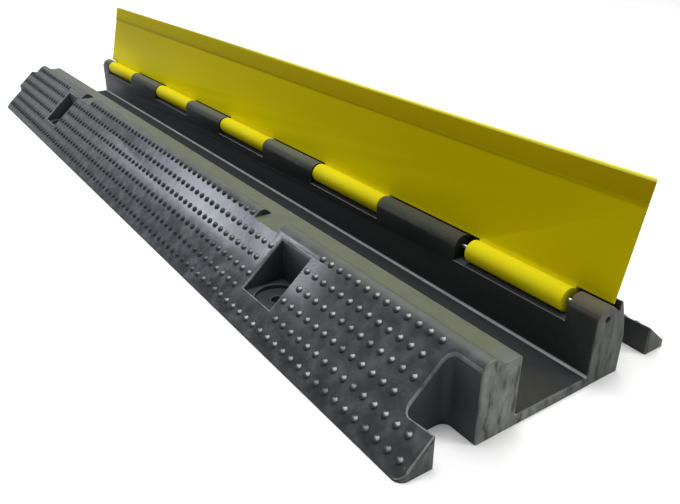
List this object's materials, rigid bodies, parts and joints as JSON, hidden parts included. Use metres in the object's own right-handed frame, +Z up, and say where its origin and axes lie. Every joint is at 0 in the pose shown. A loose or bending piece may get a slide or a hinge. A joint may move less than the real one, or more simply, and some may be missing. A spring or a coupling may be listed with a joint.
{
  "type": "floor cord cover",
  "caption": "Moulded rubber floor cord cover: a ramp with one cable channel under a yellow lid hinged on a steel pin, studded slopes, screw pockets, and end tongues and sockets for linking.",
  "frame": {"origin": "middle of the footprint, on the floor: the bottom centre of the bounding box", "axes": "+X along the ramp from the tongue end to the socket end; +Y across it, from the open side to the hinge wall; +Z up"},
  "size_m": [1.021, 0.2544, 0.1403],
  "materials": {
    "black_rubber": "moulded, satin, slightly dusty",
    "yellow_vinyl": "moulded, semi-gloss",
    "steel": "zinc plated, bright"
  },
  "bodies": {
    "ramp": {"base": "black_rubber", "hinge_pin": "steel"},
    "lid": {"lid": "yellow_vinyl"}
  },
  "joints": [
    {"name": "lid_hinge", "type": "hinge", "parent": "ramp", "child": "lid", "pos_m": [0, 0.0455, 0.049], "axis": [1, 0, 0], "range_deg": [0, 103.3]}
  ]
}
